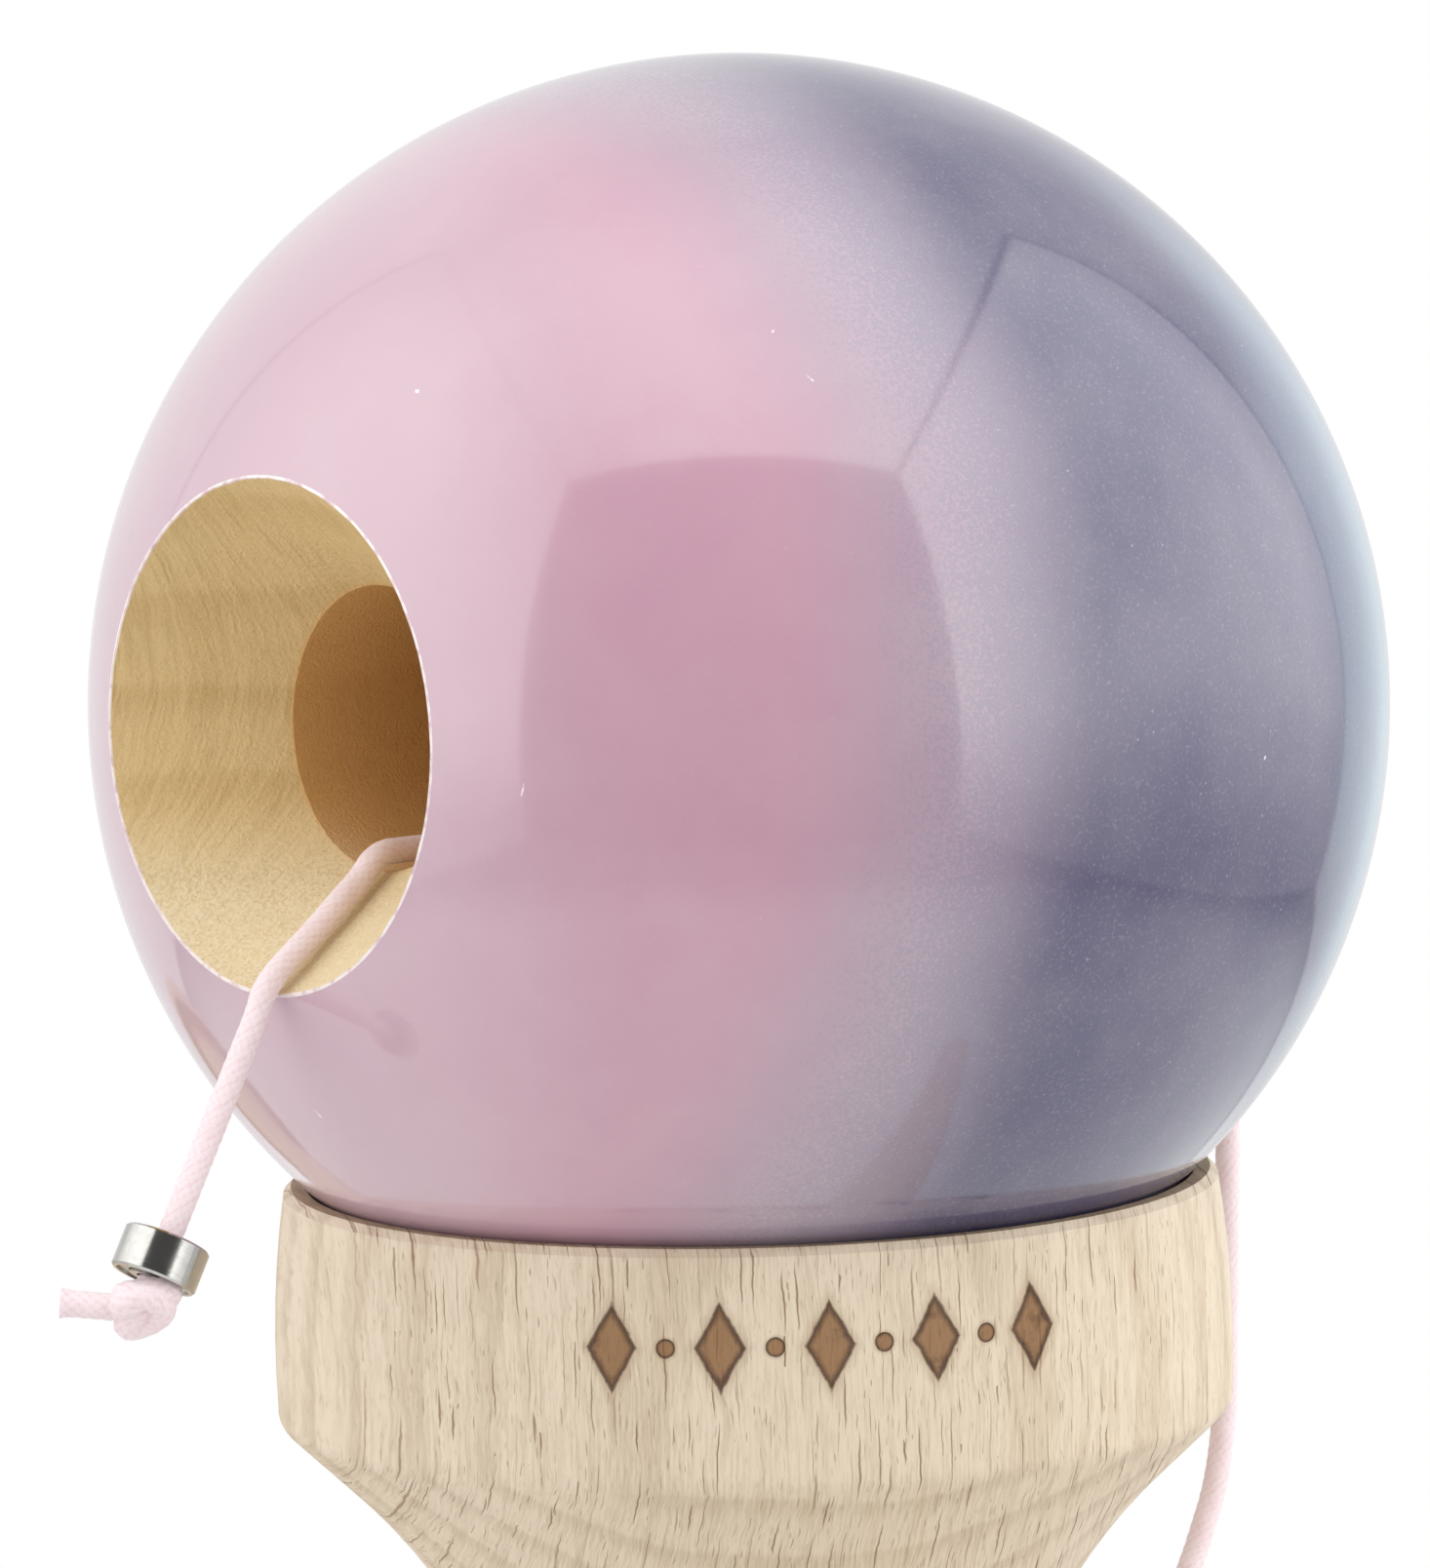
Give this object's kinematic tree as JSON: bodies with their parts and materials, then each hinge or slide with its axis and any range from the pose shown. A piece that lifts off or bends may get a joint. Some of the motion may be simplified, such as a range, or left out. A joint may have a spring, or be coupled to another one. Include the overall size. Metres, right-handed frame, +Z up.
{
  "type": "cup and ball toy",
  "caption": "Wooden cup and ball toy: a drilled lacquered ball on a turned cup block with a spiked handle, tied by a cord that ends in a tiny ball bearing.",
  "frame": {"origin": "centre of the small cup's rim, on the surface that the toy stands on", "axes": "+Z up the cup block towards the large cup and the ball, +X along the handle piece towards its spike, +Y towards the string hole in the waist"},
  "size_m": [0.167, 0.0792, 0.1232],
  "materials": {
    "beech_handle": "bare sanded beech, grain along the handle",
    "beech_cups": "bare sanded beech with short brown flecks, grain along the block",
    "lacquered_ball": "gloss lacquer sprayed from dusty pink to slate, bare wood in the hole",
    "cord": "fine braided cord, pale pink",
    "tie": "plain paper band",
    "bearing_steel": "bright ground steel",
    "cage_brass": "pressed brass"
  },
  "bodies": {
    "ken_and_cups": {"ken": "beech_handle", "cup_block": "beech_cups", "string_riser": "cord", "string_coil": "cord", "string_drop": "cord", "string_tie": "tie", "ken_knot": "cord"},
    "cord_end": {"string_tail": "cord", "end_knot": "cord"},
    "drilled_ball": {"ball": "lacquered_ball"},
    "bearing_core": {"bearing_inner_ring": "bearing_steel"},
    "bearing_case": {"bearing_outer_ring": "bearing_steel", "bearing_shield_upper": "bearing_steel", "bearing_shield_lower": "bearing_steel"},
    "bearing_set": {"bearing_cage": "cage_brass", "bearing_ball_1": "bearing_steel", "bearing_ball_2": "bearing_steel", "bearing_ball_3": "bearing_steel", "bearing_ball_4": "bearing_steel", "bearing_ball_5": "bearing_steel", "bearing_ball_6": "bearing_steel"}
  },
  "joints": [
    {"name": "ball_lift", "type": "slide", "parent": "ken_and_cups", "child": "cord_end", "axis": [0, 0, 1], "range_m": [0, 0.23], "deforming": ["string_drop"]},
    {"name": "ball_spin", "type": "hinge", "parent": "cord_end", "child": "drilled_ball", "pos_m": [0, 0, 0.09325], "axis": [0, -0.9989, 0.0471], "continuous": true},
    {"name": "bearing_slide", "type": "slide", "parent": "cord_end", "child": "bearing_core", "axis": [0, 0.4924, 0.8704], "range_m": [0, 0.008]},
    {"name": "bearing_spin", "type": "hinge", "parent": "bearing_core", "child": "bearing_case", "pos_m": [0.001, -0.03532, 0.07179], "axis": [0, 0.4924, 0.8704], "continuous": true},
    {"name": "cage_spin", "type": "hinge", "parent": "bearing_core", "child": "bearing_set", "pos_m": [0.001, -0.03532, 0.07179], "axis": [0, 0.4924, 0.8704], "continuous": true}
  ],
  "couplings": [
    {"joint": "cage_spin", "follows": "bearing_spin", "ratio": 0.646}
  ]
}
